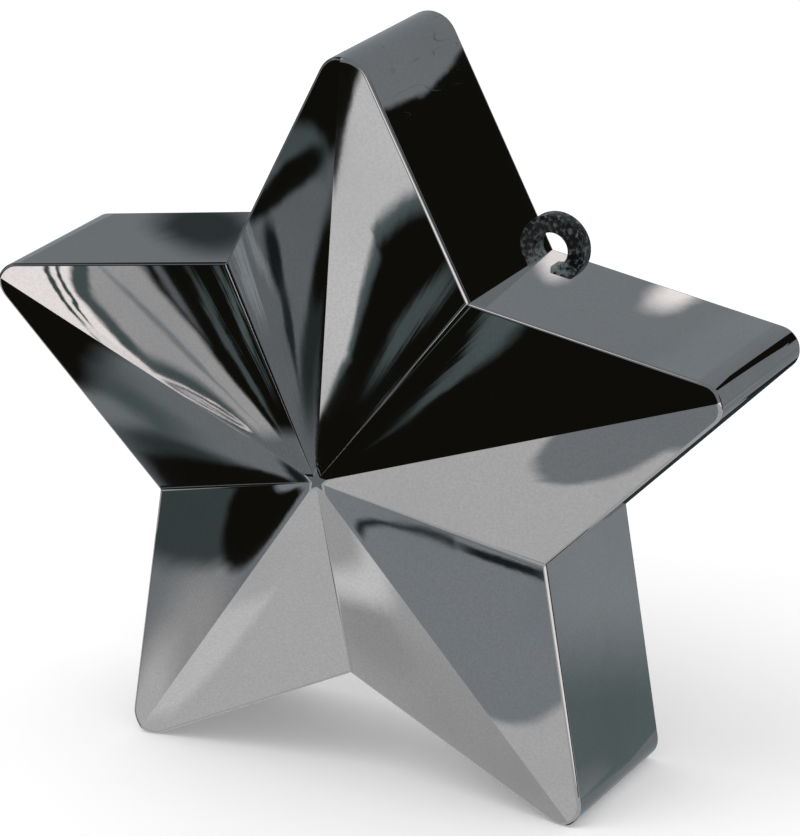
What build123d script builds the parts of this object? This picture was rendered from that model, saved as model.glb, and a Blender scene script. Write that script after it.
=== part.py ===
from build123d import *
import os
from math import atan2, cos, pi, sin, sqrt

# A balloon weight: a hollow five-pointed star, weighted with sand, that stands on its two lower
# points. The ribbon is tied to the loop in its upper right valley. Millimetres, +Z up, the faceted
# front towards -Y. The origin is on the floor, under the middle of the star.

# Star form
point_radius = 64.0  # circle through the five points before they are rounded
valley_radius = 32.7  # circle through the five inner corners
wall_depth = 26.0  # side walls, from the front rim to the rear edge
crown_rise = 9.0  # flat at the middle of the face, in front of the rim
gate_radius = 0.8  # flat left at the middle by the moulding gate, measured to its inner corners
point_round = 3.2  # plan radius of the side and lower points
top_point_round = 4.2  # plan radius of the top point
least_round = 0.5  # smallest plan radius of a point on the inside
rim_round = 0.45  # edge between the facets and the side walls

# Front shell and back cover
shell_wall = 2.0  # thickness of the facets and the side walls
cover_ledge = 1.0  # width of the step in the wall that the cover seats on
cover_thickness = 2.2
cover_gap = 0.1  # around the edge of the cover
lip_height = 3.0  # locating lip on the inside of the cover
lip_width = 1.4
lip_gap = 0.15  # between the lip and the side walls

# Ribbon loop
eye_radius = 2.45
loop_width = 2.5  # radial width of the loop's band
loop_thickness = 2.8  # along the depth of the star
loop_rear_gap = 5.2  # rear of the loop to the rear edge of the star
top_foot_sink = 0.46  # how far the top point's wall cuts off the band's outer circle
side_foot_sink = 1.57  # how far the right point's wall does
foot_width = 3.2  # of the loop's feet, along the walls
loop_edge_round = 0.3
peg_radius = 0.8  # pegs under the feet, glued into holes in the walls
peg_gap = 0.05

# Filler plug
fill_hole_radius = 6.0
plug_height = 15.0  # middle of the hole above the middle of the star
flange_width = 2.0  # flange beyond the hole
flange_thickness = 1.0
flange_gap = 0.1  # around and in front of the flange
shank_length = 5.0  # from the front of the flange
shank_wall = 1.2
shank_gap = 0.05
shank_chamfer = 0.4
pry_notch_radius = 1.6  # fingernail notch in the cover, below the flange

# Sand
freeboard = 2.3  # level of the settled sand below the filler hole

# Derived sizes
star_points = 5
half_step = pi / star_points
point_half_angle = atan2(valley_radius * sin(half_step), point_radius - valley_radius * cos(half_step))
valley_half_angle = point_half_angle + half_step
star_height = (point_radius - point_round / sin(point_half_angle)) * cos(half_step) + point_round
rim_y = (crown_rise - wall_depth) / 2
rear_y = (crown_rise + wall_depth) / 2
apex_rise = crown_rise / (1 - gate_radius / valley_radius)
facet_slope = atan2(apex_rise, point_radius * sin(point_half_angle))

rim_plane = Plane(origin=(0, rim_y, star_height), x_dir=(1, 0, 0), z_dir=(0, -1, 0))
rear_plane = rim_plane.offset(-wall_depth)
cover_front = rear_plane.offset(cover_thickness)
lip_front = cover_front.offset(lip_height)

os.makedirs("parts", exist_ok=True)


def star_corners(inset):
    """Sharp corners of the star in plan, every side moved in by inset, the top point first."""
    tip = point_radius - inset / sin(point_half_angle)
    valley = valley_radius - inset / sin(valley_half_angle)
    corners = []
    for step in range(2 * star_points):
        radius = valley if step % 2 else tip
        angle = pi / 2 + step * half_step
        corners.append((radius * cos(angle), radius * sin(angle)))
    return corners


def star_face(plane, inset):
    """Plan of the star with rounded points, every side moved in by inset."""
    with BuildSketch(plane) as face:
        Polygon(star_corners(inset), align=None)
        points = face.vertices().sort_by_distance((0, 0))[-star_points:]
        lower_points = points.sort_by(Axis.Y)[:-1]
        fillet(lower_points, radius=max(point_round - inset, least_round))
        top_point = face.vertices().sort_by(Axis.Y)[-1]
        fillet(top_point, radius=max(top_point_round - inset, least_round))
    return face.sketch


def faceted_star(inset, facet_gap):
    """Solid star with its sides moved in by inset and its facets moved back by facet_gap."""
    with BuildSketch(rim_plane.offset(-facet_gap)) as base:
        Polygon(star_corners(0), align=None)
    apex = Vertex(0, rim_y + facet_gap - apex_rise, star_height)
    with BuildPart() as block:
        loft([base.sketch.face(), apex], ruled=True)
        extrude(base.sketch, amount=-(wall_depth - facet_gap))
        extrude(star_face(rear_plane, inset), amount=wall_depth + crown_rise, mode=Mode.INTERSECT)
    return block.part


# Ribbon loop: its eye stands in the upper right valley, and its two feet sit on the valley's walls.
# Side 1 is the wall of the top point, side -1 the wall of the right point.
valley_angle = pi / 2 - half_step
loop_radius = eye_radius + loop_width
eye_to_wall = {1: loop_radius - top_foot_sink, -1: loop_radius - side_foot_sink}
corner_angle = 2 * valley_half_angle
eye_turn = atan2(eye_to_wall[-1] * sin(corner_angle), eye_to_wall[1] + eye_to_wall[-1] * cos(corner_angle))
eye_reach = eye_to_wall[-1] / sin(eye_turn)
eye_angle = valley_angle - valley_half_angle + eye_turn
valley_x = valley_radius * cos(valley_angle)
valley_z = valley_radius * sin(valley_angle)
eye_x = valley_x + eye_reach * cos(eye_angle)
eye_z = valley_z + eye_reach * sin(eye_angle)
loop_front = rear_plane.offset(loop_rear_gap + loop_thickness)
loop_middle_y = rear_y - loop_rear_gap - loop_thickness / 2


def wall_point(side, reach):
    """Plan point on a wall of the valley, at a reach from the valley's corner."""
    along = valley_angle + side * valley_half_angle
    return valley_x + reach * cos(along), valley_z + reach * sin(along)


def foot_start(side):
    """Reach from the valley's corner to the start of the loop's foot on a wall."""
    below_eye = eye_reach * cos(valley_angle + side * valley_half_angle - eye_angle)
    return below_eye + sqrt(loop_radius**2 - eye_to_wall[side] ** 2) - foot_width


def peg_plane(side):
    """Plane on a wall of the valley, under the middle of the loop's foot, facing out of the wall."""
    out = valley_angle + side * (valley_half_angle - pi / 2)
    x, z = wall_point(side, foot_start(side) + foot_width / 2)
    origin = (x, loop_middle_y, star_height + z)
    return Plane(origin=origin, x_dir=(0, 1, 0), z_dir=(cos(out), 0, sin(out)))


# Front shell: facets and side walls in one plated moulding, open at the back
with BuildPart() as front_shell:
    add(faceted_star(0, 0))
    rim_edges = front_shell.edges().filter_by(
        lambda edge: all(abs(v.Y - rim_y) < crown_rise / 2 for v in edge.vertices())
    )
    fillet(rim_edges, radius=rim_round)
    add(faceted_star(shell_wall, shell_wall / cos(facet_slope)), mode=Mode.SUBTRACT)
    extrude(
        star_face(rear_plane, shell_wall - cover_ledge),
        amount=cover_thickness,
        mode=Mode.SUBTRACT,
    )
    for side in (1, -1):
        with BuildSketch(peg_plane(side)):
            Circle(peg_radius + peg_gap)
        extrude(amount=-shell_wall, mode=Mode.SUBTRACT)

front_shell.part.label = "front_shell"
export_step(front_shell.part, "parts/front_shell.step")

# Back cover: flat star seated in the shell's step, with a locating lip and the filler hole
plug_plane = Plane(origin=(0, rear_y, star_height + plug_height), x_dir=(1, 0, 0), z_dir=(0, 1, 0))
flange_radius = fill_hole_radius + flange_width

with BuildPart() as back_cover:
    extrude(star_face(rear_plane, shell_wall - cover_ledge + cover_gap), amount=cover_thickness)
    extrude(star_face(cover_front, shell_wall + lip_gap), amount=lip_height)
    extrude(
        star_face(cover_front, shell_wall + lip_gap + lip_width),
        amount=lip_height,
        mode=Mode.SUBTRACT,
    )
    with Locations(plug_plane):
        CounterBoreHole(
            radius=fill_hole_radius,
            counter_bore_radius=flange_radius + flange_gap,
            counter_bore_depth=flange_thickness + flange_gap,
            depth=cover_thickness,
        )
    with BuildSketch(plug_plane):
        with Locations((0, flange_radius + flange_gap)):
            Circle(pry_notch_radius)
    extrude(amount=-(flange_thickness + flange_gap), mode=Mode.SUBTRACT)

back_cover.part.label = "back_cover"
export_step(back_cover.part, "parts/back_cover.step")

# Ribbon loop: flat C-shaped band, open towards the corner of the valley, with a peg in each wall
gap_stretch = 3  # carries the sides of the gap from the eye through the feet and past the corner
gap_corners = [(0, 0)]
for side in (1, -1):
    foot_x, foot_z = wall_point(side, foot_start(side))
    gap_corners.append((gap_stretch * (foot_x - eye_x), gap_stretch * (foot_z - eye_z)))

with BuildPart() as ribbon_loop:
    with BuildSketch(loop_front):
        with Locations((eye_x, eye_z)):
            Circle(loop_radius)
            Circle(eye_radius, mode=Mode.SUBTRACT)
            Polygon(gap_corners, align=None, mode=Mode.SUBTRACT)
        Polygon(star_corners(0), align=None, mode=Mode.SUBTRACT)
    extrude(amount=-loop_thickness)
    fillet(ribbon_loop.edges().filter_by(GeomType.CIRCLE), radius=loop_edge_round)
    for side in (1, -1):
        with BuildSketch(peg_plane(side)):
            Circle(peg_radius)
        extrude(amount=-shell_wall)

ribbon_loop.part.label = "ribbon_loop"
export_step(ribbon_loop.part, "parts/ribbon_loop.step")

# Filler plug: flanged hollow stopper, flush with the back of the cover
with BuildPart() as filler_plug:
    with BuildSketch(plug_plane):
        Circle(flange_radius)
    extrude(amount=-flange_thickness)
    with BuildSketch(plug_plane.offset(-flange_thickness)):
        Circle(fill_hole_radius - shank_gap)
    extrude(amount=-shank_length)
    chamfer(filler_plug.edges().sort_by(Axis.Y)[0], length=shank_chamfer)
    with BuildSketch(plug_plane.offset(-flange_thickness)):
        Circle(fill_hole_radius - shank_gap - shank_wall)
    extrude(amount=-shank_length, mode=Mode.SUBTRACT)

filler_plug.part.label = "filler_plug"
export_step(filler_plug.part, "parts/filler_plug.step")

# Sand: loose fill, settled level in the lower part of the star, in front of the cover and its lip
sand_level = star_height + plug_height - fill_hole_radius - freeboard

with BuildPart() as sand_fill:
    add(faceted_star(shell_wall, shell_wall / cos(facet_slope)))
    split(bisect_by=lip_front, keep=Keep.TOP)
    extrude(star_face(lip_front, shell_wall + lip_gap + lip_width), amount=-lip_height)
    split(bisect_by=Plane.XY.offset(sand_level), keep=Keep.BOTTOM)

sand_fill.part.label = "sand_fill"
export_step(sand_fill.part, "parts/sand_fill.step")
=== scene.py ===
from math import atan2, cos, hypot, pi, radians, sin, sqrt

import bmesh
import bpy
from mathutils import Matrix, Vector, noise


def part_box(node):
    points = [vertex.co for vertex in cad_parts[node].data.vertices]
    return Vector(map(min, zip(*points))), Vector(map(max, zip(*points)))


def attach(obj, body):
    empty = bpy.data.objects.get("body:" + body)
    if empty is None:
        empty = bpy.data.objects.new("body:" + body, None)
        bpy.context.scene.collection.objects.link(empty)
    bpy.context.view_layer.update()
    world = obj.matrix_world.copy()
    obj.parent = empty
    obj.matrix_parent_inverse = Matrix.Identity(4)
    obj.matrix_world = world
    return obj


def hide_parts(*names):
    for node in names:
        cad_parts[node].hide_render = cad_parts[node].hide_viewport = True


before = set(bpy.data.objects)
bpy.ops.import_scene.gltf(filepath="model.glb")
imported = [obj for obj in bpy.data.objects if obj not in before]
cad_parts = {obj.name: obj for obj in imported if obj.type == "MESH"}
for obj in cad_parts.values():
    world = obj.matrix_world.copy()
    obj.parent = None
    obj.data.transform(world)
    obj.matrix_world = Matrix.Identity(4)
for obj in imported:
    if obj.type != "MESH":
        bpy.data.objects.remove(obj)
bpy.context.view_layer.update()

# Front shell
# The star itself, moulded hollow in one piece of black plastic: five faceted points in front, ten straight
# side walls, and an open back with a step that the cover sits in. It is plated with a dark mirror finish.
mm = 0.001
star_points = 5
half_step = pi / star_points
point_radius = 64.0 * mm
valley_radius = 32.7 * mm
point_round = 3.2 * mm
top_point_round = 4.2 * mm
least_round = 0.5 * mm
rim_round = 0.45 * mm
rear_round = 0.25 * mm
mid_round = 0.3  # share of an edge round at the middle of its curve
crown_rise = 9.0 * mm
gate_radius = 0.8 * mm
shell_wall = 2.0 * mm
cover_ledge = 1.0 * mm
cover_thickness = 2.2 * mm

shell_low, shell_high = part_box("front_shell")
rear_y = shell_high.y
rim_y = shell_low.y + crown_rise
point_half_angle = atan2(valley_radius * sin(half_step), point_radius - valley_radius * cos(half_step))
valley_half_angle = point_half_angle + half_step
star_height = (point_radius - point_round / sin(point_half_angle)) * cos(half_step) + point_round
apex_rise = crown_rise / (1 - gate_radius / valley_radius)
facet_slope = atan2(apex_rise, point_radius * sin(point_half_angle))

arc_steps = 10  # along half of a rounded point
arc_gather = 1.5  # draws those steps towards the middle of the point
side_steps = 26  # from a rounded point to a valley
crease_steps = (0.75 * mm, 0.4 * mm, 0.18 * mm)  # closer rows beside a valley


def plan_ring(inset):
    """Plan of the star with every side moved in by inset, as (across, up) from the star's middle."""
    tip = point_radius - inset / sin(point_half_angle)
    valley = valley_radius - inset / sin(valley_half_angle)
    corner = Vector((valley * cos(half_step), valley * sin(half_step)))
    ring = []
    for arm in range(star_points):
        full_round = top_point_round if arm == 0 else point_round
        tip_round = max(full_round - inset, least_round)
        round_middle = tip - tip_round / sin(point_half_angle)
        half_arm = []
        for step in range(arc_steps + 1):
            turn = (pi / 2 - point_half_angle) * (step / arc_steps) ** arc_gather
            half_arm.append(Vector((round_middle + tip_round * cos(turn), tip_round * sin(turn))))
        side_start = half_arm[-1]
        side_length = (corner - side_start).length
        shares = [step / side_steps for step in range(1, side_steps)]
        shares += [1 - gap / side_length for gap in crease_steps] + [1]
        half_arm += [side_start.lerp(corner, share) for share in shares]
        other_half = [Vector((point.x, -point.y)) for point in half_arm[-2:0:-1]]
        turned = Matrix.Rotation(pi / 2 + arm * 2 * half_step, 2)
        ring += [turned @ point for point in other_half + half_arm]
    return ring


ridge_slope = (1 / valley_radius - cos(half_step) / point_radius) / sin(half_step)
valley_slope = ridge_slope * cos(half_step) - sin(half_step) / point_radius
valley_turn = radians(0.6)  # how far from a valley its sides begin to curve into it
ripple_height = 0.012 * mm
ripple_length = 17 * mm
flow_height = 0.003 * mm
flow_count = 9  # flow waves in a radian
flow_length = 4 * ripple_length


def facet_rise(across, up):
    """How far the faceted front stands out from the rim plane at a point of the plan."""
    reach = hypot(across, up)
    angle = atan2(up, across)
    turn = (angle - pi / 2) % (2 * half_step)
    from_ridge = min(turn, 2 * half_step - turn)
    from_valley = half_step - from_ridge
    fall = cos(from_ridge) / point_radius + ridge_slope * sin(from_ridge)
    closeness = max(0, 1 - from_valley / valley_turn)
    fall -= valley_slope * valley_turn / 2 * closeness**2
    rise = min(apex_rise * (1 - reach * fall), crown_rise)
    ripple = noise.noise(Vector((across, up, 0)) / ripple_length)
    flow = noise.noise(Vector((cos(angle) * flow_count, sin(angle) * flow_count, reach / flow_length)))
    waves = ripple_height * ripple + flow_height * flow
    return rise + waves * min(1, reach / valley_radius) ** 2


def star_place(plan, y):
    """Place of a plan point of the star at a depth."""
    return Vector((plan[0], y, star_height + plan[1]))


def extrude_ring(bm, ring, places):
    """Extrudes a closed ring of vertices to new places and returns the new ring in the same order."""
    edges = [bm.edges.get((ring[k - 1], ring[k])) for k in range(len(ring))]
    order = {vert: k for k, vert in enumerate(ring)}
    new_ring = list(ring)
    for item in bmesh.ops.extrude_edge_only(bm, edges=edges)["geom"]:
        if isinstance(item, bmesh.types.BMVert):
            parent = next(e.other_vert(item) for e in item.link_edges if e.other_vert(item) in order)
            new_ring[order[parent]] = item
    for vert, place in zip(new_ring, places):
        vert.co = place
    return new_ring


merge_distance = 0.0005 * mm  # joins rows that meet in a point


def finished_piece(name, bm, crease_angle):
    """Makes a named piece of a bmesh, with its faces outward and smooth up to the crease angle."""
    bmesh.ops.remove_doubles(bm, verts=bm.verts, dist=merge_distance)
    bmesh.ops.recalc_face_normals(bm, faces=bm.faces)
    for edge in bm.edges:
        edge.smooth = edge.calc_face_angle(0) < crease_angle
    for face in bm.faces:
        face.smooth = True
    mesh = bpy.data.meshes.new(name)
    bm.to_mesh(mesh)
    bm.free()
    piece = bpy.data.objects.new(name, mesh)
    bpy.context.scene.collection.objects.link(piece)
    return piece


outline = plan_ring(0)
round_middles = plan_ring(rim_round)
rim_slopes = []
for outer, middle in zip(outline, round_middles):
    drop = facet_rise(*middle) - facet_rise(*outer)
    rim_slopes.append(atan2(drop, (outer - middle).length))


def rim_ring(share):
    """Ring on the rounded rim, from the facets at share 0 to the side walls at share 1."""
    ring = []
    for outer, middle, slope in zip(outline, round_middles, rim_slopes):
        lean = slope + (pi / 2 - slope) * share
        depth = rim_y - facet_rise(*middle) + rim_round / cos(slope) - rim_round * cos(lean)
        ring.append(star_place(middle.lerp(outer, sin(lean)), depth))
    return ring


facet_rows = 44
rim_rows = 5
wall_rows = 12
wall_ripple = 0.012 * mm
edge_row = 0.12 * mm  # row close to an edge, which keeps the shading of the edge to itself

bm = bmesh.new()
bmesh.ops.create_circle(bm, cap_ends=True, cap_tris=True, segments=len(outline), radius=gate_radius)
facet_edge = rim_ring(0)
middle_vert = min(bm.verts, key=lambda vert: vert.co.length)
middle_vert.co = star_place((0, 0), rim_y - facet_rise(0, 0))
ring = sorted((v for v in bm.verts if v != middle_vert), key=lambda v: atan2(v.co.y, v.co.x))
near_rim = 1 - edge_row / valley_radius
gate_share = gate_radius / valley_radius
gate_rows = (0.5, 0.99, 1.04, 1.5)  # on the gate's flat, close to both sides of its edge, and beyond
row_shares = [gate_share * step for step in gate_rows]
row_shares += [row / facet_rows for row in range(2, facet_rows)]
row_shares += [near_rim, 1]
for row, share in enumerate(row_shares):
    places = []
    for edge_point in facet_edge:
        plan = Vector((edge_point.x, edge_point.z - star_height)) * share
        places.append(star_place(plan, rim_y - facet_rise(*plan)))
    if row == 0:
        for vert, place in zip(ring, places):
            vert.co = place
    else:
        ring = extrude_ring(bm, ring, places)
for row in range(1, rim_rows + 1):
    ring = extrude_ring(bm, ring, rim_ring(row / rim_rows))
wall_start = rim_ring(1)
for row in range(wall_rows + 1):
    places = []
    for start, middle, outer in zip(wall_start, round_middles, outline):
        first_y = start.y + edge_row
        last_y = rear_y - rear_round - edge_row
        depth = first_y + (last_y - first_y) * row / wall_rows
        outward = (outer - middle).normalized()
        ripple = noise.noise(star_place(outer, depth) / ripple_length)
        swell = wall_ripple * ripple * sin(pi * row / wall_rows)
        places.append(star_place(outer + outward * swell, depth))
    ring = extrude_ring(bm, ring, places)
rear_steps = [
    (0, rear_y - rear_round),
    (rear_round * mid_round, rear_y - rear_round * mid_round),
    (rear_round, rear_y),
    (shell_wall - cover_ledge, rear_y),
    (shell_wall - cover_ledge, rear_y - cover_thickness),
    (shell_wall, rear_y - cover_thickness),
]
for inset, depth in rear_steps:
    ring = extrude_ring(bm, ring, [star_place(plan, depth) for plan in plan_ring(inset)])
inner_outline = plan_ring(shell_wall)
inner_rows = (1, 0.7, 0.4, 0.1)
facet_gap = shell_wall / cos(facet_slope)
for share in inner_rows:
    inner_plan = [point * share for point in inner_outline]
    places = [star_place(plan, rim_y + facet_gap - facet_rise(*plan)) for plan in inner_plan]
    ring = extrude_ring(bm, ring, places)
inner_apex = star_place((0, 0), rim_y + facet_gap - facet_rise(0, 0))
ring = extrude_ring(bm, ring, [inner_apex] * len(ring))
shell_crease = radians(28)  # the ridges turn by more than this, and stay crisp
star_shell = finished_piece("plated_star_shell", bm, shell_crease)
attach(star_shell, "star")
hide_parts("front_shell")


def add_node(tree, kind, inputs=(), **options):
    """Adds a shader node with its options. Inputs gives each socket a value or another node's output."""
    node = tree.nodes.new("ShaderNode" + kind)
    for option, value in options.items():
        setattr(node, option, value)
    for socket, value in dict(inputs).items():
        if isinstance(value, bpy.types.NodeSocket):
            tree.links.new(value, node.inputs[socket])
        else:
            node.inputs[socket].default_value = value
    return node


def mixed_colour(tree, factor, first, second):
    """Colour between two others, by a factor."""
    mix = add_node(tree, "Mix", {0: factor, 6: first, 7: second}, data_type="RGBA")
    return mix.outputs[2]


def ranged(tree, value, low, high, to_low=0.0, to_high=1.0):
    """A value taken from one range to another, easing in and out, and held at its ends."""
    sockets = {"Value": value, "From Min": low, "From Max": high, "To Min": to_low, "To Max": to_high}
    return add_node(tree, "MapRange", sockets, interpolation_type="SMOOTHSTEP").outputs["Result"]


def computed(tree, operation, first, second=0.0):
    """Result of one sum or product of two values."""
    return add_node(tree, "Math", {0: first, 1: second}, operation=operation).outputs[0]


def new_group(name, inputs, outputs):
    """Starts a shader node group with value sockets, and returns it with its two end nodes."""
    group = bpy.data.node_groups.new(name, "ShaderNodeTree")
    for socket, value in inputs.items():
        made = group.interface.new_socket(socket, in_out="INPUT", socket_type="NodeSocketFloat")
        made.default_value = value
    for socket in outputs:
        group.interface.new_socket(socket, in_out="OUTPUT", socket_type="NodeSocketFloat")
    return group, group.nodes.new("NodeGroupInput"), group.nodes.new("NodeGroupOutput")


def new_finish(name):
    """Starts a material and returns it with its node tree and its surface shader."""
    finish = bpy.data.materials.new(name)
    finish.use_nodes = True
    return finish, finish.node_tree, finish.node_tree.nodes["Principled BSDF"]


def grey(level):
    """Neutral colour of one level."""
    return (level, level, level, 1)


# Handling marks, on the plating and on the plastics: hairline scratches in two directions and finger smudges
scratch_turns = (radians(24), radians(-58))
scratch_tilt = 0.3
scratch_stretch = 14
scratch_width = 0.006
marks, marks_in, marks_out = new_group(
    "handling_marks", {"Scratch Length": 60.0, "Smudge Size": 55.0}, ("Scratches", "Smudges")
)
marks_place = add_node(marks, "TexCoord").outputs["Object"]
scratch_sets = []
for turn in scratch_turns:
    stretched = add_node(
        marks,
        "Mapping",
        {"Vector": marks_place, "Rotation": (scratch_tilt, turn, turn), "Scale": (scratch_stretch, 1, 1)},
    ).outputs["Vector"]
    lines = add_node(
        marks, "TexNoise", {"Vector": stretched, "Scale": marks_in.outputs["Scratch Length"], "Detail": 0.0}
    ).outputs["Fac"]
    nearness = computed(marks, "ABSOLUTE", computed(marks, "SUBTRACT", lines, 0.5))
    scratch_sets.append(ranged(marks, nearness, 0.0, scratch_width, 1.0, 0.0))
patches = add_node(marks, "TexNoise", {"Vector": marks_place, "Scale": 90.0, "Detail": 2.0}).outputs["Fac"]
some_places = ranged(marks, patches, 0.53, 0.66)
scratches = computed(marks, "MULTIPLY", computed(marks, "MAXIMUM", *scratch_sets), some_places)
smudges = add_node(
    marks, "TexNoise", {"Vector": marks_place, "Scale": marks_in.outputs["Smudge Size"], "Detail": 4.0}
).outputs["Fac"]
marks.links.new(scratches, marks_out.inputs["Scratches"])
marks.links.new(ranged(marks, smudges, 0.42, 0.72), marks_out.inputs["Smudges"])

# Plating of the shell: a dark mirror with flow lines that run out from the gate beside the valleys
dark_plate = (0.314, 0.312, 0.313, 1)
pale_plate = (0.353, 0.351, 0.352, 1)
smudged_plate = (0.29, 0.293, 0.297, 1)
smudge_share = 0.5
clean_roughness = 0.012
smudged_roughness = 0.026
scratch_roughness = 0.12
flow_lines_around = 30.0
flow_lines_along = 55.0
flow_line_depth = 0.0018 * mm
peel_depth = 0.0005 * mm
plating, tree, shader = new_finish("black_mirror_plating")
shell_marks = add_node(tree, "Group", node_tree=marks).outputs
place = add_node(tree, "TexCoord").outputs["Object"]
from_middle = add_node(
    tree, "VectorMath", {0: place, 1: (0, rim_y, star_height)}, operation="SUBTRACT"
).outputs["Vector"]
axes = add_node(tree, "SeparateXYZ", {0: from_middle}).outputs
bearing = computed(tree, "ARCTAN2", axes["X"], axes["Z"])
reach = add_node(tree, "VectorMath", {0: from_middle}, operation="LENGTH").outputs["Value"]
flow_around = computed(tree, "MULTIPLY", bearing, flow_lines_around)
flow_along = computed(tree, "MULTIPLY", reach, flow_lines_along)
flow_place = add_node(tree, "CombineXYZ", {"X": flow_around, "Y": flow_along}).outputs[0]
flow_lines = add_node(tree, "TexNoise", {"Vector": flow_place, "Scale": 1.0, "Detail": 2.0}).outputs["Fac"]
beside_valley = computed(tree, "COSINE", computed(tree, "MULTIPLY", bearing, float(star_points)))
flow_mask = ranged(tree, beside_valley, -0.2, -0.95)
upper_half = ranged(tree, axes["Z"], 0.0, valley_radius / 2)
in_front = ranged(tree, axes["Y"], 0.0, rim_round, 1.0, 0.0)
flow_share = computed(tree, "MULTIPLY", computed(tree, "MULTIPLY", flow_mask, upper_half), in_front)
flow_bump = computed(tree, "MULTIPLY", flow_lines, flow_share)
peel = add_node(tree, "TexNoise", {"Vector": place, "Scale": 420.0, "Detail": 3.0}).outputs["Fac"]
peel_bump = add_node(tree, "Bump", {"Strength": 1.0, "Distance": peel_depth, "Height": peel})
flow_normal = add_node(
    tree,
    "Bump",
    {"Strength": 1.0, "Distance": flow_line_depth, "Height": flow_bump, "Normal": peel_bump.outputs[0]},
)
tree.links.new(flow_normal.outputs[0], shader.inputs["Normal"])
speckle = add_node(tree, "TexNoise", {"Vector": place, "Scale": 2800.0, "Detail": 4.0}).outputs["Fac"]
clean = mixed_colour(tree, ranged(tree, speckle, 0.3, 0.7), dark_plate, pale_plate)
smudged = computed(tree, "MULTIPLY", shell_marks["Smudges"], smudge_share)
worn = mixed_colour(tree, smudged, clean, smudged_plate)
top_knocks = ranged(tree, axes["Z"], 0.72 * point_radius, 0.85 * point_radius)
scratched = computed(tree, "MULTIPLY", shell_marks["Scratches"], top_knocks)
tree.links.new(mixed_colour(tree, scratched, worn, grey(0.12)), shader.inputs["Base Color"])
dulled = ranged(tree, shell_marks["Smudges"], 0.0, 1.0, clean_roughness, smudged_roughness)
rougher = computed(tree, "MULTIPLY", scratched, scratch_roughness)
roughness = computed(tree, "ADD", dulled, rougher)
tree.links.new(roughness, shader.inputs["Roughness"])
shader.inputs["Metallic"].default_value = 1.0
star_shell.data.materials.append(plating)

# Ribbon loop
# A flat C-shaped band in the upper right valley that the ribbon is tied to. It is moulded apart, plated
# dull and mottled, and its two feet stand on the valley's walls, on pegs glued into them.
eye_radius = 2.45 * mm
loop_width = 2.5 * mm
loop_edge_round = 0.3 * mm
edge_crease = radians(35)
top_foot_sink = 0.46 * mm
side_foot_sink = 1.57 * mm
foot_width = 3.2 * mm
loop_low, loop_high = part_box("ribbon_loop")
loop_front = loop_low.y
loop_back = loop_high.y
valley_angle = pi / 2 - half_step
loop_radius = eye_radius + loop_width
eye_to_wall = {1: loop_radius - top_foot_sink, -1: loop_radius - side_foot_sink}
corner_angle = 2 * valley_half_angle
eye_turn = atan2(eye_to_wall[-1] * sin(corner_angle), eye_to_wall[1] + eye_to_wall[-1] * cos(corner_angle))
eye_reach = eye_to_wall[-1] / sin(eye_turn)
eye_angle = valley_angle - valley_half_angle + eye_turn
valley_corner = Vector((valley_radius * cos(valley_angle), valley_radius * sin(valley_angle)))
eye_plan = valley_corner + eye_reach * Vector((cos(eye_angle), sin(eye_angle)))
eye = star_place(eye_plan, (loop_front + loop_back) / 2)
wall_out = {}
foot_angle = {}
for side in (1, -1):
    wall_angle = valley_angle + side * (valley_half_angle - pi / 2)
    foot_start = sqrt(loop_radius**2 - eye_to_wall[side] ** 2) - foot_width
    wall_out[side] = Vector((cos(wall_angle), 0, sin(wall_angle)))
    foot_angle[side] = wall_angle + pi - side * atan2(foot_start, eye_to_wall[side])

bm = bmesh.new()
band_start = Vector((cos(foot_angle[1]), 0, sin(foot_angle[1])))
band = bmesh.ops.create_grid(bm, x_segments=1, y_segments=1, size=0.5)["verts"]
for vert in band:
    along = vert.co.x + 0.5
    depth = loop_back if vert.co.y > 0 else loop_front
    vert.co = eye + band_start * (eye_radius + loop_width * along)
    vert.co.y = depth
bmesh.ops.bevel(
    bm, geom=band, offset=loop_edge_round, segments=4, profile=0.5, affect="VERTICES", material=-1
)
bmesh.ops.spin(
    bm,
    geom=bm.faces[:] + bm.edges[:] + bm.verts[:],
    cent=eye,
    axis=(0, 1, 0),
    angle=2 * pi - (foot_angle[-1] - foot_angle[1]),
    steps=64,
    use_duplicate=False,
)
for side in (1, -1):
    cut = bmesh.ops.bisect_plane(
        bm,
        geom=bm.faces[:] + bm.edges[:] + bm.verts[:],
        plane_co=eye - wall_out[side] * eye_to_wall[side],
        plane_no=wall_out[side],
        clear_inner=True,
    )
    rim = [edge for edge in cut["geom_cut"] if isinstance(edge, bmesh.types.BMEdge)]
    bmesh.ops.edgenet_fill(bm, edges=rim)
ribbon_loop = finished_piece("plated_ribbon_loop", bm, edge_crease)
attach(ribbon_loop, "star")
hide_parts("ribbon_loop")
ribbon_loop.visible_glossy = False

dull_plating, tree, shader = new_finish("dull_dark_plating")
loop_marks = add_node(tree, "Group", {"Smudge Size": 260.0}, node_tree=marks).outputs
place = add_node(tree, "TexCoord").outputs["Object"]
mottle = add_node(
    tree, "TexNoise", {"Vector": place, "Scale": 1500.0, "Detail": 4.0, "Roughness": 0.6}
).outputs["Fac"]
blotches = ranged(tree, mottle, 0.48, 0.64)
dark_coat = mixed_colour(tree, blotches, (0.003, 0.0035, 0.0035, 1), (0.1, 0.12, 0.12, 1))
smudged = mixed_colour(tree, loop_marks["Smudges"], dark_coat, grey(0.012))
# The loop's colour turns lighter, in patches of the mottle, near the foot on the side wall
side_foot = eye - wall_out[-1] * eye_to_wall[-1]
to_foot = add_node(tree, "VectorMath", {0: place, 1: side_foot}, operation="DISTANCE").outputs["Value"]
near_foot = ranged(tree, to_foot, 2 * mm, 5 * mm, 1.0, 0.0)
lighter_near_foot = computed(tree, "MULTIPLY", near_foot, ranged(tree, mottle, 0.36, 0.56))
tree.links.new(mixed_colour(tree, lighter_near_foot, smudged, (0.2, 0.23, 0.23, 1)), shader.inputs["Base Color"])
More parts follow.
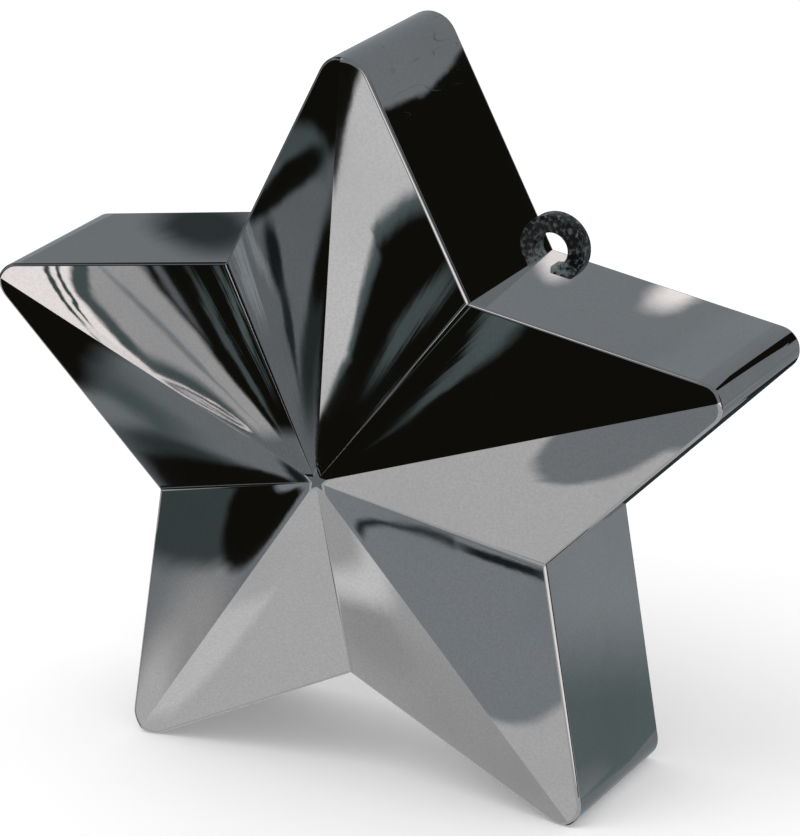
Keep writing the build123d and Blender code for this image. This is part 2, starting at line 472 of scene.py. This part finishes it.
tree.links.new(ranged(tree, mottle, 0.35, 0.65, 0.12, 0.25), shader.inputs["Roughness"])
pitted = add_node(tree, "Bump", {"Strength": 1.0, "Distance": 0.03 * mm, "Height": mottle})
tree.links.new(pitted.outputs[0], shader.inputs["Normal"])
shader.inputs["IOR"].default_value = 1.25
ribbon_loop.data.materials.append(dull_plating)

# Sand
# The weight itself: loose dry sand, settled level in the lower part of the star. It shows only through the
# filler hole once the plug is out.
sand, tree, shader = new_finish("sand")
place = add_node(tree, "TexCoord").outputs["Object"]
grains = add_node(tree, "TexVoronoi", {"Vector": place, "Scale": 1600.0})
grain_tone = add_node(tree, "TexNoise", {"Vector": grains.outputs["Position"], "Scale": 900.0}).outputs["Fac"]
tree.links.new(
    mixed_colour(tree, grain_tone, (0.32, 0.22, 0.12, 1), (0.72, 0.58, 0.38, 1)), shader.inputs["Base Color"]
)
grain_bump = add_node(
    tree, "Bump", {"Strength": 1.0, "Distance": 0.4 * mm, "Height": grains.outputs["Distance"]}, invert=True
)
tree.links.new(grain_bump.outputs[0], shader.inputs["Normal"])
tree.links.new(ranged(tree, grain_tone, 0.3, 0.7, 0.7, 0.95), shader.inputs["Roughness"])
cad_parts["sand_fill"].data.materials.clear()
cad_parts["sand_fill"].data.materials.append(sand)

# Back cover
# A flat moulded star of black plastic, glued into the step of the shell. A lip on its inside locates it, and
# the filler hole above its middle has a counterbore for the plug, with a notch to pry the plug out by.
cover_gap = 0.1 * mm
lip_height = 3.0 * mm
lip_width = 1.4 * mm
lip_gap = 0.15 * mm
fill_hole_radius = 6.0 * mm
flange_width = 2.0 * mm
flange_thickness = 1.0 * mm
flange_gap = 0.1 * mm
pry_notch_radius = 1.6 * mm
cover_round = 0.3 * mm
hole_round = 0.2 * mm
plug_low, plug_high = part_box("filler_plug")
plug_middle = Vector(((plug_low.x + plug_high.x) / 2, (plug_low.z + plug_high.z) / 2 - star_height))
flange_radius = fill_hole_radius + flange_width
cover_inset = shell_wall - cover_ledge + cover_gap
cover_front = rear_y - cover_thickness
recess_floor = rear_y - flange_thickness - flange_gap

cover_outline = plan_ring(cover_inset)
hole_bearings = [atan2(*(point - plug_middle).yx) for point in cover_outline]


def hole_ring(radius, depth, notch=0.0):
    """Ring about the filler hole, widened below by a round notch at the rim of the recess."""
    ring = []
    for bearing in hole_bearings:
        reach = radius
        off_notch = (flange_radius + flange_gap) * cos(bearing)
        if sin(bearing) < 0 and abs(off_notch) < notch:
            notch_reach = -(flange_radius + flange_gap) * sin(bearing) + sqrt(notch**2 - off_notch**2)
            reach = max(radius, notch_reach)
        plan = plug_middle + Vector((cos(bearing), sin(bearing))) * reach
        ring.append(star_place(plan, depth))
    return ring


def cover_ring(inset, depth):
    """Ring along the outline of the cover, moved in by inset."""
    return [star_place(plan, depth) for plan in plan_ring(inset)]


recess_radius = flange_radius + flange_gap
lip_inset = shell_wall + lip_gap
hole_mid = mid_round * hole_round
cover_mid = mid_round * cover_round
cover_rings = [
    hole_ring(fill_hole_radius, cover_front),
    hole_ring(fill_hole_radius, recess_floor),
    hole_ring(recess_radius, recess_floor, pry_notch_radius),
    hole_ring(recess_radius, rear_y - hole_round, pry_notch_radius),
    hole_ring(recess_radius + hole_mid, rear_y - hole_mid, pry_notch_radius + hole_mid),
    hole_ring(recess_radius + hole_round, rear_y, pry_notch_radius + hole_round),
    hole_ring(recess_radius + 3 * hole_round, rear_y, pry_notch_radius + 3 * hole_round),
    cover_ring(cover_inset + 2 * cover_round, rear_y),
    cover_ring(cover_inset + cover_round, rear_y),
    cover_ring(cover_inset + cover_mid, rear_y - cover_mid),
    cover_ring(cover_inset, rear_y - cover_round),
    cover_ring(cover_inset, cover_front),
    cover_ring(lip_inset, cover_front),
    cover_ring(lip_inset, cover_front - lip_height),
    cover_ring(lip_inset + lip_width, cover_front - lip_height),
    cover_ring(lip_inset + lip_width, cover_front),
    hole_ring(fill_hole_radius, cover_front),
]
bm = bmesh.new()
bmesh.ops.create_circle(bm, segments=len(cover_outline), radius=fill_hole_radius)
ring = sorted(bm.verts, key=lambda v: atan2(v.co.y, v.co.x))
for vert, place in zip(ring, cover_rings[0]):
    vert.co = place
for places in cover_rings[1:]:
    ring = extrude_ring(bm, ring, places)
back_cover = finished_piece("black_back_cover", bm, edge_crease)
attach(back_cover, "star")
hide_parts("back_cover")

# Mould texture of the plastics: the fine even grain of a spark-eroded mould
grain, grain_in, grain_out = new_group("mould_grain", {"Grain Size": 2600.0}, ("Height", "Sheen"))
grain_place = add_node(grain, "TexCoord").outputs["Object"]
fine = add_node(
    grain, "TexNoise", {"Vector": grain_place, "Scale": grain_in.outputs["Grain Size"], "Detail": 3.0}
).outputs["Fac"]
broad = add_node(grain, "TexNoise", {"Vector": grain_place, "Scale": 70.0, "Detail": 3.0}).outputs["Fac"]
grain.links.new(fine, grain_out.inputs["Height"])
grain.links.new(ranged(grain, broad, 0.3, 0.7), grain_out.inputs["Sheen"])


def plastic_finish(name, colour, scuffed, smooth, rough, grain_size, grain_depth):
    """Black moulded plastic, with its grain, its scuffs and patches of different sheen."""
    finish, tree, shader = new_finish(name)
    texture = add_node(tree, "Group", {"Grain Size": grain_size}, node_tree=grain).outputs
    wear = add_node(tree, "Group", {"Scratch Length": 45.0, "Smudge Size": 80.0}, node_tree=marks).outputs
    tree.links.new(mixed_colour(tree, wear["Scratches"], colour, scuffed), shader.inputs["Base Color"])
    sheen = ranged(tree, texture["Sheen"], 0.0, 1.0, smooth, rough)
    greasy = computed(tree, "MULTIPLY", wear["Smudges"], 0.08)
    tree.links.new(computed(tree, "SUBTRACT", sheen, greasy), shader.inputs["Roughness"])
    bump = add_node(tree, "Bump", {"Strength": 1.0, "Distance": grain_depth, "Height": texture["Height"]})
    tree.links.new(bump.outputs[0], shader.inputs["Normal"])
    return finish


cover_plastic = plastic_finish(
    "black_cover_plastic", (0.018, 0.018, 0.019, 1), grey(0.05), 0.42, 0.55, 2600.0, 0.03 * mm
)
back_cover.data.materials.append(cover_plastic)

# Filler plug
# A soft stopper moulded of black plastic, with a thin dished flange and a hollow shank. It is pushed into
# the filler hole until its flange is flush with the cover, and pulls straight out.
shank_wall = 1.2 * mm
shank_gap = 0.05 * mm
shank_chamfer = 0.4 * mm
flange_round = 0.25 * mm
dish_radius = 5.2 * mm
dish_depth = 0.25 * mm
dish_side = 0.5 * mm
dish_shoulder = 0.15 * mm
shoulder_drop = 0.06 * mm
gate_pip_radius = 0.6 * mm
gate_pip_step = 0.1 * mm
plug_back = plug_high.y
plug_front = plug_low.y
flange_front = plug_back - flange_thickness
shank_radius = fill_hole_radius - shank_gap
bore_radius = shank_radius - shank_wall
plug_profile = [
    (0, plug_back - dish_depth),
    (gate_pip_radius, plug_back - dish_depth),
    (gate_pip_radius + gate_pip_step, plug_back - dish_depth + gate_pip_step),
    (dish_radius - dish_side, plug_back - dish_depth),
    (dish_radius - dish_shoulder, plug_back - shoulder_drop),
    (dish_radius, plug_back),
    (flange_radius - flange_round, plug_back),
    (flange_radius - mid_round * flange_round, plug_back - mid_round * flange_round),
    (flange_radius, plug_back - flange_round),
    (flange_radius, flange_front),
    (shank_radius, flange_front),
    (shank_radius, plug_front + shank_chamfer),
    (shank_radius - shank_chamfer, plug_front),
    (bore_radius, plug_front),
    (bore_radius, flange_front),
    (0, flange_front),
]
bm = bmesh.new()
plug_axis = star_place(plug_middle, 0)
profile = [bm.verts.new((plug_axis.x + radius, depth, plug_axis.z)) for radius, depth in plug_profile]
profile_edges = [bm.edges.new(pair) for pair in zip(profile, profile[1:])]
bmesh.ops.spin(
    bm, geom=profile + profile_edges, cent=plug_axis, axis=(0, 1, 0), angle=2 * pi, steps=96, use_merge=True
)
filler_plug = finished_piece("black_filler_plug", bm, edge_crease)
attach(filler_plug, "plug")
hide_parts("filler_plug")
plug_plastic = plastic_finish(
    "black_plug_plastic", (0.026, 0.026, 0.027, 1), grey(0.07), 0.34, 0.44, 1700.0, 0.015 * mm
)
filler_plug.data.materials.append(plug_plastic)

# Camera
# A long lens to the right of the star and above it, as far off as keeps the depth of the walls as seen. It is
# aimed a few millimetres past the middle of the star, which frames all five points.
camera_azimuth = radians(28.304)
camera_elevation = radians(20.907)
camera_roll = radians(-0.432)
camera_distance = 631.8 * mm
aim_across = 7.34 * mm
aim_up = 5.97 * mm
camera_lens = 193.48
towards_camera = Vector(
    (
        sin(camera_azimuth) * cos(camera_elevation),
        -cos(camera_azimuth) * cos(camera_elevation),
        sin(camera_elevation),
    )
)
level_right = Vector((cos(camera_azimuth), sin(camera_azimuth), 0))
level_up = towards_camera.cross(level_right)
camera_right = cos(camera_roll) * level_right + sin(camera_roll) * level_up
camera_up = cos(camera_roll) * level_up - sin(camera_roll) * level_right
star_middle = star_place((0, 0), rim_y)
camera_place = star_middle + towards_camera * camera_distance + camera_right * aim_across + camera_up * aim_up
camera_data = bpy.data.cameras.new("camera")
camera_data.lens = camera_lens
camera_data.clip_start = 10 * mm
camera = bpy.data.objects.new("camera", camera_data)
camera_turn = Matrix((camera_right, camera_up, towards_camera)).transposed().to_4x4()
camera.matrix_world = Matrix.Translation(camera_place) @ camera_turn
bpy.context.scene.collection.objects.link(camera)
bpy.context.scene.camera = camera

# Studio
# A plain pale floor in even white light, with one soft lamp for the shadow. A mirror shows what stands round
# it, so a grey room, a lower floor, and dark and pale cards stand where the facets and walls look. Only
# mirrors see them.
scene = bpy.context.scene
scene.view_settings.view_transform = "Standard"
world_level = 0.86
scene.world = bpy.data.worlds.new("studio_light")
scene.world.use_nodes = True
sky = scene.world.node_tree.nodes["Background"]
sky.inputs["Color"].default_value = grey(1.0)
sky.inputs["Strength"].default_value = world_level

lamp_data = bpy.data.lights.new("soft_lamp", "AREA")
lamp_data.energy = 3.0
lamp_data.size = 0.7
lamp = bpy.data.objects.new("soft_lamp", lamp_data)
lamp.location = (-0.35, -0.45, 0.9)
lamp.rotation_euler = (star_middle - lamp.location).to_track_quat("-Z", "Y").to_euler()
lamp.visible_glossy = False
scene.collection.objects.link(lamp)


def stage_object(name, bm, finish):
    """Makes a stage object of a bmesh."""
    mesh = bpy.data.meshes.new(name)
    bm.to_mesh(mesh)
    bm.free()
    mesh.materials.append(finish)
    staged = bpy.data.objects.new(name, mesh)
    scene.collection.objects.link(staged)
    return staged


def for_mirrors_only(staged):
    """Hides a stage object from everything but reflections."""
    staged.visible_camera = False
    staged.visible_diffuse = False
    staged.visible_shadow = False
    staged.visible_transmission = False
    staged.visible_volume_scatter = False


floor_size = 4.0
floor_lift = 0.1  # takes the paper to white for the camera
floor_finish, tree, shader = new_finish("pale_floor")
place = add_node(tree, "TexCoord").outputs["Object"]
paper = add_node(tree, "TexNoise", {"Vector": place, "Scale": 30.0, "Detail": 3.0}).outputs["Fac"]
tree.links.new(mixed_colour(tree, paper, grey(0.94), grey(0.97)), shader.inputs["Base Color"])
shader.inputs["Roughness"].default_value = 0.9
shader.inputs["Specular IOR Level"].default_value = 0.0
camera_ray = add_node(tree, "LightPath").outputs["Is Camera Ray"]
tree.links.new(computed(tree, "MULTIPLY", camera_ray, floor_lift), shader.inputs["Emission Strength"])
shader.inputs["Emission Color"].default_value = grey(1.0)
bm = bmesh.new()
bmesh.ops.create_grid(bm, x_segments=1, y_segments=1, size=floor_size / 2)
floor = stage_object("pale_floor", bm, floor_finish)


def studio_colour(level):
    """Colour of a card or wall of the studio: black and white ones a little warm, dull ones cool."""
    tints = {0.02: (1.05, 0.75), 0.3: (0.77, 1.01), 0.7: (0.92, 1.06), 1.5: (1.01, 1.0), 9.0: (1.06, 0.98)}
    red, blue = next(tint for limit, tint in tints.items() if level < limit)
    return (level * red, level, level * blue, 1)


def stage_glow(name):
    """Starts a glowing stage material, and returns it with its tree and its glow."""
    finish = bpy.data.materials.new(name)
    finish.use_nodes = True
    tree = finish.node_tree
    tree.nodes.clear()
    return finish, tree, add_node(tree, "Emission")


def plain_glow(name, level):
    """Even glow of one level."""
    finish, tree, glow = stage_glow(name)
    glow.inputs["Color"].default_value = studio_colour(level)
    output = add_node(tree, "OutputMaterial")
    tree.links.new(glow.outputs[0], output.inputs["Surface"])
    return finish


oval_power = 2.0
ring_power = 2.6  # a ring is a little squarer than an oval
wave_stretch = 2.2
wave_scale = 5.0


def patterned_glow(name, corner, along, out, fan, level, patches, ripple):
    """Glow of a card, one level under soft patches. Two edges from a corner of the facet or wall that the
    card is for give it two axes: the shares of those edges or, in a fan, the share of the turn from the
    ridge to the valley and the reach from the middle to the rim. A patch is an oval, a band or a ring, its
    place and half sizes on the two axes, its lean, its level, and the softness of its edge as a share of
    its size."""
    finish, tree, glow = stage_glow(name)
    place = add_node(tree, "TexCoord").outputs["Object"]
    from_corner = add_node(
        tree, "VectorMath", {0: place, 1: corner.to_3d()}, operation="SUBTRACT"
    ).outputs["Vector"]
    area = along.cross(out)
    by_along = Vector((out.y, -out.x, 0)) / area
    by_out = Vector((-along.y, along.x, 0)) / area
    first = add_node(
        tree, "VectorMath", {0: from_corner, 1: by_along}, operation="DOT_PRODUCT"
    ).outputs["Value"]
    second = add_node(
        tree, "VectorMath", {0: from_corner, 1: by_out}, operation="DOT_PRODUCT"
    ).outputs["Value"]
    if fan:
        reach = computed(tree, "ADD", first, second)
        first = computed(tree, "DIVIDE", second, reach)
        second = reach
    wave_place = add_node(
        tree, "CombineXYZ", {"X": computed(tree, "MULTIPLY", first, wave_stretch), "Y": second}
    ).outputs[0]
    wave = add_node(
        tree, "TexNoise", {"Vector": wave_place, "Scale": wave_scale, "Detail": 2.5}
    ).outputs["Fac"]
    shift = computed(tree, "MULTIPLY", computed(tree, "SUBTRACT", wave, 0.5), ripple)
    first = computed(tree, "ADD", first, shift)
    colour = studio_colour(level)
    for shape, share, reach, half_share, half_reach, lean, patch_level, softness in patches:
        from_reach = computed(tree, "SUBTRACT", second, reach)
        leaning = computed(tree, "SUBTRACT", first, computed(tree, "MULTIPLY", from_reach, lean))
        across = computed(tree, "DIVIDE", computed(tree, "SUBTRACT", leaning, share), half_share)
        away = computed(tree, "DIVIDE", from_reach, half_reach)
        parts = [computed(tree, "ABSOLUTE", part) for part in (across, away)]
        if shape == "band":
            distance = computed(tree, "MAXIMUM", *parts)
        else:
            power = ring_power if shape == "ring" else oval_power
            powers = [computed(tree, "POWER", part, power) for part in parts]
            distance = computed(tree, "POWER", computed(tree, "ADD", *powers), 1 / power)
        if shape == "ring":
            from_line = computed(tree, "ABSOLUTE", computed(tree, "SUBTRACT", distance, 1.0))
            inside = ranged(tree, from_line, 0.0, softness, 1.0, 0.0)
        else:
            inside = ranged(tree, distance, 1 - softness, 1 + softness, 1.0, 0.0)
        colour = mixed_colour(tree, inside, colour, studio_colour(patch_level))
    tree.links.new(colour, glow.inputs["Color"])
    clear = add_node(tree, "BsdfTransparent")
    behind = add_node(tree, "NewGeometry").outputs["Backfacing"]
    seen = add_node(tree, "MixShader", {0: behind, 1: clear.outputs[0], 2: glow.outputs[0]})
    output = add_node(tree, "OutputMaterial")
    tree.links.new(seen.outputs[0], output.inputs["Surface"])
    return finish


room_level = 0.42
bm = bmesh.new()
bmesh.ops.create_uvsphere(bm, u_segments=48, v_segments=24, radius=floor_size / 2)
for_mirrors_only(stage_object("grey_room", bm, plain_glow("grey_room", room_level)))
floor.visible_glossy = False
low_floor_depth = 450 * mm
low_floor_level = 0.92
bm = bmesh.new()
bmesh.ops.create_grid(bm, x_segments=1, y_segments=1, size=floor_size / 2)
bmesh.ops.translate(bm, vec=(0, 0, -low_floor_depth), verts=bm.verts)
for_mirrors_only(stage_object("low_floor", bm, plain_glow("low_floor", low_floor_level)))


def hang_card(name, place, across, up, outline, spread, glow):
    """Hangs a card of an outline at a place, along two directions, with its back to the star."""
    bm = bmesh.new()
    corners = [bm.verts.new((point[0], point[1], 0)) for point in outline]
    bmesh.ops.contextual_create(bm, geom=corners)
    bm.normal_update()
    bmesh.ops.reverse_faces(bm, faces=[face for face in bm.faces if face.normal.z < 0])
    card = stage_object(name, bm, glow)
    turned = Matrix((across, up, across.cross(up))).transposed().to_4x4()
    card.matrix_world = Matrix.Translation(place) @ turned @ Matrix.Scale(spread, 4)
    for_mirrors_only(card)


fan_outline = ((-0.02, -0.02), (1.04, -0.02), (-0.02, 1.04))  # a little beyond a facet
wall_outline = ((-0.15, -0.04), (1.1, -0.04), (1.1, 1.04), (-0.15, 1.04))  # and beyond a side wall


def mirror_card(name, corner, along, out, fan, level, patches, distance=300, ripple=0.05):
    """Hangs the card that a facet or wall shows to the camera. The card's own axes are the camera's axes,
    mirrored, and it is as much larger as it is further away, so it is laid out as the facet is seen."""
    corners = [corner, corner + along, corner + out]
    if not fan:
        corners.insert(2, corner + along + out)
    middle = sum(corners, Vector()) / len(corners)
    outward = along.cross(out).normalized()
    if outward.dot(camera_place - middle) < 0:
        outward = -outward
    view = middle - camera_place

    def as_seen(point):
        sight = point - camera_place
        flattened = sight * (view.length_squared / sight.dot(view)) - view
        return Vector((flattened.dot(camera_right), flattened.dot(camera_up)))

    seen = as_seen(corner)
    seen_along = as_seen(corner + along) - seen
    seen_out = as_seen(corner + out) - seen
    glow = patterned_glow(name, seen, seen_along, seen_out, fan, level, patches, ripple)
    shares = fan_outline if fan else wall_outline
    outline = [seen + seen_along * first + seen_out * second for first, second in shares]
    spread = 1 + distance * mm / view.length
    place = middle + view.normalized().reflect(outward) * distance * mm
    across = camera_right.reflect(outward)
    up = camera_up.reflect(outward)
    hang_card(name, place, across, up, outline, spread, glow)


def star_corner(radius, angle, depth):
    """Sharp corner of the star, at a radius and an angle in plan."""
    return star_place((radius * cos(angle), radius * sin(angle)), depth)


def rim_corners(arm, side):
    """Tip and valley of one side of a point. Arm 0 is the top point, then anticlockwise, as is side 1."""
    arm_angle = pi / 2 + arm * 2 * half_step
    tip = star_corner(point_radius, arm_angle, rim_y)
    valley = star_corner(valley_radius, arm_angle + side * half_step, rim_y)
    return tip, valley


def facet_card(name, arm, side, level, patches, **options):
    """Card for the facet on one side of a point."""
    tip, valley = rim_corners(arm, side)
    apex = star_place((0, 0), rim_y - apex_rise)
    mirror_card(name, apex, tip - apex, valley - apex, True, level, patches, **options)


def wall_card(name, arm, side, level, patches, **options):
    """Card for the side wall behind a facet, from the valley to the point and from front to rear."""
    tip, valley = rim_corners(arm, side)
    depth = Vector((0, rear_y - rim_y, 0))
    mirror_card(name, valley, tip - valley, depth, False, level, patches, **options)


def flag(name, azimuth, elevation, distance, half_width, half_height, level, place=star_middle):
    """Plain card that stands off in a direction from a place: azimuth 0 in front, 90 to the right."""
    azimuth = radians(azimuth)
    elevation = radians(elevation)
    along = Vector((sin(azimuth) * cos(elevation), -cos(azimuth) * cos(elevation), sin(elevation)))
    across = along.cross(Vector((0, 0, 1))).normalized()
    up = across.cross(along)
    glow = plain_glow(name, level)
    outline = [
        (-half_width * mm, -half_height * mm),
        (half_width * mm, -half_height * mm),
        (half_width * mm, half_height * mm),
        (-half_width * mm, half_height * mm),
    ]
    hang_card(name, place + along * distance * mm, across, up, outline, 1.0, glow)


flag("front_flag", -22, 6, 340, 150, 100, 0.012)
flag("left_flag", -52, 2, 340, 60, 70, 0.012)
flag("far_left_flag", -95, 14, 340, 110, 90, 0.03)
flag("upper_left_flag", -68, 46, 345, 130, 60, 0.02)
flag("upper_rear_flag", -125, 42, 345, 90, 70, 0.02)
flag("right_flag", 118, 5, 300, 92, 140, 0.02)
flag("rear_flag", -175, -14, 340, 190, 92, 0.03)
flag("lower_rear_flag", 178, -36, 345, 190, 50, 0.38)
flag("right_rear_flag", 150, -19, 345, 75, 80, 0.38)
flag("lower_left_flag", -64, -28, 345, 40, 50, 0.02)
flag("hub_flag", -28, -21, 350, 60, 50, 0.33)
flag("lower_valley_flag", -41, -47, 345, 30, 25, 0.3)
flag("overhead_softbox", -28, 62, 340, 60, 60, 1.9)
flag("front_softbox", 55, 2, 300, 280, 120, 2.0)
flag("valley_strip", -8, 3, 335, 10, 24, 1.1)
right_tip = star_corner(point_radius, half_step / 2, rear_y)
flag("right_tip_flag", 163, 30, 42, 6, 11, 0.012, right_tip)
lower_tip = star_corner(point_radius, -1.5 * half_step, rim_y)
flag("lower_tip_flag", 180, -80, 30, 16, 26, 0.012, lower_tip)

facet_card(
    "top_left_card", 0, 1, 0.33,
    [
        ("oval", 0.30, 0.29, 0.34, 0.14, -1.0, 0.12, 0.6),
        ("oval", 0.24, 0.42, 0.26, 0.19, -1.4, 0.06, 0.4),
        ("oval", 0.10, 0.50, 0.17, 0.08, -0.6, 0.012, 0.4),
        ("band", 0.00, 0.24, 0.15, 0.26, -0.3, 0.012, 0.3),
        ("band", 0.33, 0.90, 0.12, 0.20, 1.6, 0.2, 0.4),
        ("band", 0.00, 0.97, 0.38, 0.25, 1.4, 0.012, 0.1),
        ("oval", 0.50, 0.89, 0.14, 0.14, 2.5, 0.012, 0.3),
        ("oval", 0.71, 0.77, 0.06, 0.14, 0.1, 0.03, 0.4),
        ("oval", 0.68, 0.52, 0.045, 0.18, 0.05, 0.05, 0.5),
        ("oval", 0.92, 0.88, 0.03, 0.20, 0.0, 0.6, 0.6),
        ("oval", 0.82, 0.90, 0.02, 0.16, 0.2, 0.55, 0.6),
    ],
)
facet_card(
    "top_right_card", 0, -1, 1.4,
    [
        ("band", 0.00, 0.83, 0.10, 0.18, 0.30, 0.012, 0.2),
        ("band", 0.95, 0.87, 0.45, 0.15, 0.75, 0.25, 0.08),
        ("band", 0.87, 0.57, 0.45, 0.19, 0.05, 0.25, 0.08),
        ("band", 0.78, 0.30, 0.45, 0.13, 1.3, 0.25, 0.08),
        ("band", 1.02, 0.87, 0.45, 0.15, 0.75, 0.012, 0.08),
        ("band", 0.94, 0.57, 0.45, 0.19, 0.05, 0.012, 0.08),
        ("band", 0.85, 0.30, 0.45, 0.13, 1.3, 0.012, 0.08),
        ("band", 0.50, 0.15, 0.45, 0.10, 3.3, 0.012, 0.12),
        ("band", 1.00, 0.14, 0.40, 0.14, 0.0, 0.012, 0.1),
        ("band", 0.50, 0.04, 0.70, 0.10, 0.0, 0.012, 0.2),
        ("oval", 0.84, 0.72, 0.05, 0.28, 0.15, 0.2, 0.5),
    ],
    ripple=0.04,
)
facet_card(
    "right_upper_card", 4, 1, 0.012,
    [
        ("oval", 0.81, 0.72, 0.035, 0.36, 0.2, 0.2, 0.6),
        ("oval", 0.86, 0.97, 0.06, 0.22, 0.3, 0.24, 0.6),
    ],
)
facet_card(
    "left_upper_card", 1, -1, 0.86,
    [
        ("band", 0.20, 0.82, 0.10, 0.30, 0.45, 0.21, 0.3),
        ("oval", 0.18, 0.38, 0.18, 0.20, 0.0, 0.2, 0.3),
        ("band", 0.33, 0.96, 0.07, 0.10, 0.9, 0.21, 0.2),
        ("band", 0.06, 0.82, 0.16, 0.30, 0.45, 2.1, 0.1),
        ("band", 0.18, 0.96, 0.15, 0.10, 0.9, 2.1, 0.1),
        ("oval", 0.155, 0.85, 0.012, 0.22, 0.75, 0.15, 0.4),
        ("oval", 0.215, 0.87, 0.010, 0.18, 0.75, 0.15, 0.4),
        ("band", 0.04, 0.58, 0.035, 0.14, 0.2, 1.9, 0.3),
        ("oval", 0.13, 0.37, 0.11, 0.14, -0.7, 1.9, 0.1),
        ("oval", 0.14, 0.36, 0.085, 0.11, -0.7, 0.15, 0.15),
        ("oval", 0.17, 0.35, 0.020, 0.09, -0.8, 1.5, 0.4),
        ("oval", 0.10, 0.37, 0.018, 0.08, -0.5, 1.3, 0.4),
        ("oval", 0.48, 0.65, 0.02, 0.34, 0.0, 0.5, 0.6),
        ("band", 0.92, 0.65, 0.28, 0.47, 0.0, 0.012, 0.1),
        ("oval", 0.80, 0.60, 0.02, 0.38, 0.1, 0.2, 0.5),
        ("oval", 0.70, 0.90, 0.02, 0.20, 0.1, 0.3, 0.6),
        ("oval", 0.95, 0.75, 0.02, 0.28, 0.05, 0.25, 0.6),
        ("band", 0.50, 0.10, 0.60, 0.12, 0.0, 0.35, 0.4),
    ],
    distance=160, ripple=0.06,
)
facet_card(
    "left_lower_card", 1, 1, 0.40,
    [
        ("oval", 0.58, 0.76, 0.40, 0.22, 0.0, 0.22, 0.7),
        ("band", 0.10, 1.02, 0.58, 0.50, 1.55, 0.012, 0.2),
        ("oval", 0.64, 0.96, 0.08, 0.18, 0.1, 0.45, 0.6),
        ("oval", 0.78, 0.68, 0.10, 0.30, 0.0, 0.09, 0.6),
        ("band", 0.99, 0.66, 0.18, 0.30, 0.08, 0.012, 0.2),
        ("oval", 1.02, 0.38, 0.22, 0.26, 0.3, 0.012, 0.2),
        ("oval", 0.60, 0.08, 0.60, 0.05, 0.4, 0.03, 0.5),
    ],
)
facet_card(
    "bottom_left_outer_card", 2, -1, 0.45,
    [
        ("oval", 0.15, 0.75, 0.35, 0.25, 0.0, 0.72, 0.6),
        ("oval", 0.05, 0.92, 0.25, 0.15, 0.0, 1.1, 0.6),
        ("band", 0.98, 0.80, 0.38, 0.45, 0.6, 0.13, 0.2),
        ("oval", 0.64, 0.32, 0.50, 0.24, 0.2, 0.012, 0.12),
        ("oval", 1.00, 0.17, 0.17, 0.09, 0.0, 0.5, 0.3),
    ],
)
facet_card(
    "bottom_left_inner_card", 2, 1, 1.08,
    [
        ("band", 0.02, 0.70, 0.27, 0.22, -0.6, 1.35, 0.25),
    ],
)
facet_card(
    "bottom_right_lower_card", 3, -1, 0.86,
    [
        ("band", 0.30, 0.75, 0.50, 0.25, 0.0, 0.78, 0.5),
        ("oval", 0.78, 0.66, 0.22, 0.18, 0.5, 0.71, 0.7),
        ("oval", 0.55, 0.38, 0.24, 0.27, 3.0, 1.45, 0.8),
    ],
)
facet_card(
    "bottom_right_upper_card", 3, 1, 0.53,
    [
        ("ring", 0.20, 0.60, 0.73, 0.43, 0.0, 0.06, 0.075),
        ("band", 0.50, 0.92, 0.80, 0.32, 0.0, 0.53, 0.04),
        ("band", 0.00, 0.18, 0.20, 0.06, 0.0, 0.53, 0.6),
        ("band", 0.20, 0.95, 0.25, 0.32, 1.5, 1.1, 0.12),
        ("band", 0.94, 0.81, 0.018, 0.21, 0.07, 0.03, 0.5),
    ],
    ripple=0.01,
)
facet_card(
    "right_lower_card", 4, -1, 1.1,
    [
        ("oval", 0.08, 0.77, 0.44, 0.22, 0.0, 0.46, 0.1),
        ("band", 0.08, 0.93, 0.24, 0.15, 0.0, 0.46, 0.15),
    ],
    ripple=0.12,
)
wall_card(
    "top_wall_card", 0, -1, 0.42,
    [
        ("band", 0.20, 0.50, 0.46, 0.90, 0.0, 0.012, 0.03),
        ("band", 0.21, 0.80, 0.48, 0.30, 0.14, 0.012, 0.03),
        ("band", 0.20, 0.15, 0.475, 0.25, -0.08, 0.012, 0.03),
    ],
    ripple=0.03,
)
wall_card(
    "right_wall_card", 4, 1, 0.43,
    [
        ("oval", 0.45, 1.05, 0.065, 0.32, 0.0, 1.9, 0.6),
        ("oval", 0.05, 0.88, 0.06, 0.22, -0.2, 1.7, 0.6),
        ("band", 0.75, 0.50, 0.10, 0.90, 0.0, 0.47, 0.6),
    ],
)
wall_card("left_wall_card", 1, -1, 0.31, [("oval", 0.33, 0.68, 0.20, 0.50, 0.45, 0.06, 0.5)])
wall_card(
    "lower_right_wall_card", 3, 1, 0.52,
    [
        ("band", 0.76, 0.50, 0.34, 0.90, 0.2, 0.27, 0.6),
        ("oval", 0.88, 0.10, 0.10, 0.25, 0.0, 0.42, 0.8),
    ],
)
